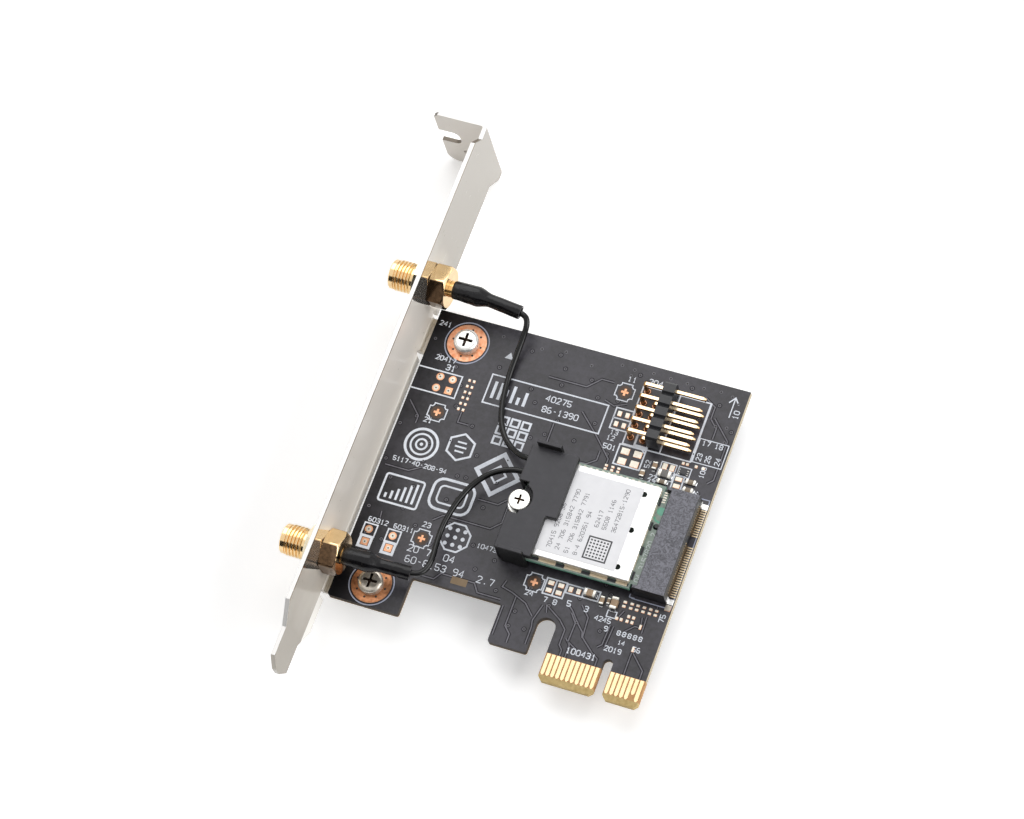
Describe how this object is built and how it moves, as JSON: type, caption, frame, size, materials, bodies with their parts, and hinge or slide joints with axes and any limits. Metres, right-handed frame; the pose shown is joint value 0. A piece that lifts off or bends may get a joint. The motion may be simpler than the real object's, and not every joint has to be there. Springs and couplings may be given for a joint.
{
  "type": "wireless network card",
  "caption": "Short edge-connector expansion card with a slot bracket, coaxial antenna ports, a shielded radio module and a side pin header.",
  "frame": {"origin": "on the card edge, at the centre line of the first edge contact, on the component face of the board", "axes": "+X along the board away from the bracket, +Y from the card edge up along the bracket, +Z out of the component face"},
  "size_m": [0.0788, 0.1201, 0.0223],
  "materials": {
    "black_board": "epoxy-glass laminate under satin black solder mask",
    "green_board": "epoxy-glass laminate under teal green solder mask",
    "gold_plate": "bright gold plating",
    "copper": "bare satin copper",
    "nickel_sheet": "polished nickel plating with fine drawn lines",
    "zinc_steel": "zinc plating",
    "bright_steel": "bright nickel plating",
    "tin_shield": "matt tin plating",
    "white_insulator": "smooth white fluoropolymer",
    "black_sleeve": "satin black shrink sleeve",
    "black_jacket": "glossy black jacket",
    "label_film": "satin grey film",
    "chip_black": "moulding compound",
    "crystal_can": "satin metal can",
    "socket_plastic": "glass-filled liquid crystal polymer",
    "cover_plastic": "finely textured black plastic",
    "header_plastic": "satin black plastic",
    "capacitor_ceramic": "brown ceramic with tinned ends",
    "resistor_black": "black glaze with tinned ends",
    "ferrite": "dark ferrite with silver ends"
  },
  "bodies": {
    "root": {"main_board": "black_board", "edge_contacts_front": "gold_plate", "edge_contacts_back": "gold_plate", "ground_rings": "copper", "bracket": "nickel_sheet", "bracket_screws": "zinc_steel", "antenna_port_upper": "gold_plate", "antenna_port_lower": "gold_plate", "port_insulator_upper": "white_insulator", "port_insulator_lower": "white_insulator", "port_pin_upper": "gold_plate", "port_pin_lower": "gold_plate", "lock_washer_upper": "gold_plate", "lock_washer_lower": "gold_plate", "port_nut_upper": "gold_plate", "port_nut_lower": "gold_plate", "crimp_ferrule_upper": "gold_plate", "crimp_ferrule_lower": "gold_plate", "heat_shrink_upper": "black_sleeve", "heat_shrink_lower": "black_sleeve", "coax_lead_upper": "black_jacket", "coax_lead_lower": "black_jacket", "antenna_plug_upper": "gold_plate", "antenna_plug_lower": "gold_plate", "antenna_jacks": "gold_plate", "module_board": "green_board", "module_contacts": "gold_plate", "module_shield": "tin_shield", "module_label": "label_film", "radio_chip": "chip_black", "amplifier_chips": "chip_black", "module_crystal": "crystal_can", "socket_housing": "socket_plastic", "socket_springs_upper": "gold_plate", "socket_springs_lower": "gold_plate", "socket_hold_downs": "tin_shield", "plug_cover": "cover_plastic", "module_standoff": "tin_shield", "module_screw": "bright_steel", "header_body": "header_plastic", "header_pins_upper": "gold_plate", "header_pins_lower": "gold_plate", "chip_capacitors": "capacitor_ceramic", "chip_resistors": "resistor_black", "power_inductor": "ferrite", "voltage_regulator": "chip_black"}
  },
  "joints": []
}
